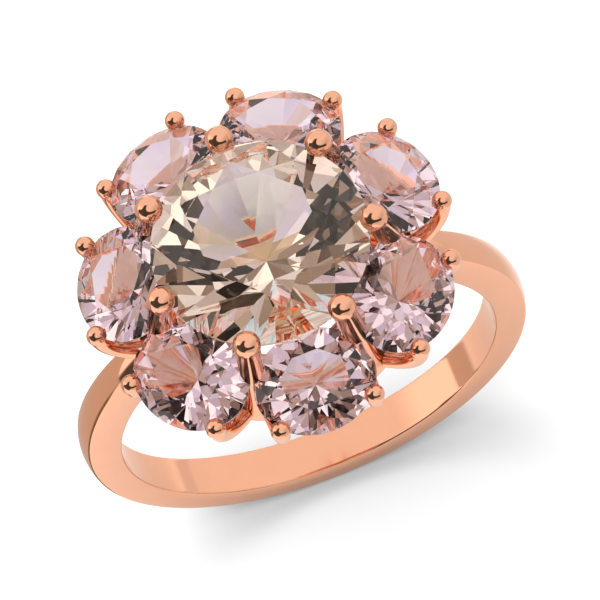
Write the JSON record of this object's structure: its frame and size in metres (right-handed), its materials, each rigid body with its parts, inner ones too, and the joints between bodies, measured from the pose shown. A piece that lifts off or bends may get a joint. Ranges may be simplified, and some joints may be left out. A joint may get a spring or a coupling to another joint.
{
  "type": "cocktail ring",
  "caption": "Flower cluster ring: a round brilliant-cut centre stone within oval petal stones, held by ball-ended wire prongs on a narrow tapered band.",
  "frame": {"origin": "centre of the finger bore, midway through the band's width", "axes": "+Y along the finger bore, +Z from the bore towards the head and its centre stone; one petal lies exactly towards -Y"},
  "size_m": [0.0198, 0.0158, 0.0245],
  "materials": {
    "rose_gold": "polished rose gold",
    "centre_gem": "polished peach brilliant-cut stone",
    "petal_gem": "polished pink-lilac brilliant-cut stone"
  },
  "bodies": {
    "root": {"shank": "rose_gold", "base_ring": "rose_gold", "gallery_rail": "rose_gold", "centre_stone": "centre_gem", "petal_stone_1": "petal_gem", "petal_stone_2": "petal_gem", "petal_stone_3": "petal_gem", "petal_stone_4": "petal_gem", "petal_stone_5": "petal_gem", "petal_stone_6": "petal_gem", "petal_stone_7": "petal_gem", "centre_prong_1": "rose_gold", "centre_prong_2": "rose_gold", "centre_prong_3": "rose_gold", "centre_prong_4": "rose_gold", "centre_prong_5": "rose_gold", "centre_prong_6": "rose_gold", "centre_prong_7": "rose_gold", "petal_prong_1": "rose_gold", "petal_prong_2": "rose_gold", "petal_prong_3": "rose_gold", "petal_prong_4": "rose_gold", "petal_prong_5": "rose_gold", "petal_prong_6": "rose_gold", "petal_prong_7": "rose_gold", "petal_prong_8": "rose_gold", "petal_prong_9": "rose_gold", "petal_prong_10": "rose_gold", "petal_prong_11": "rose_gold", "petal_prong_12": "rose_gold", "petal_prong_13": "rose_gold", "petal_prong_14": "rose_gold"}
  },
  "joints": []
}
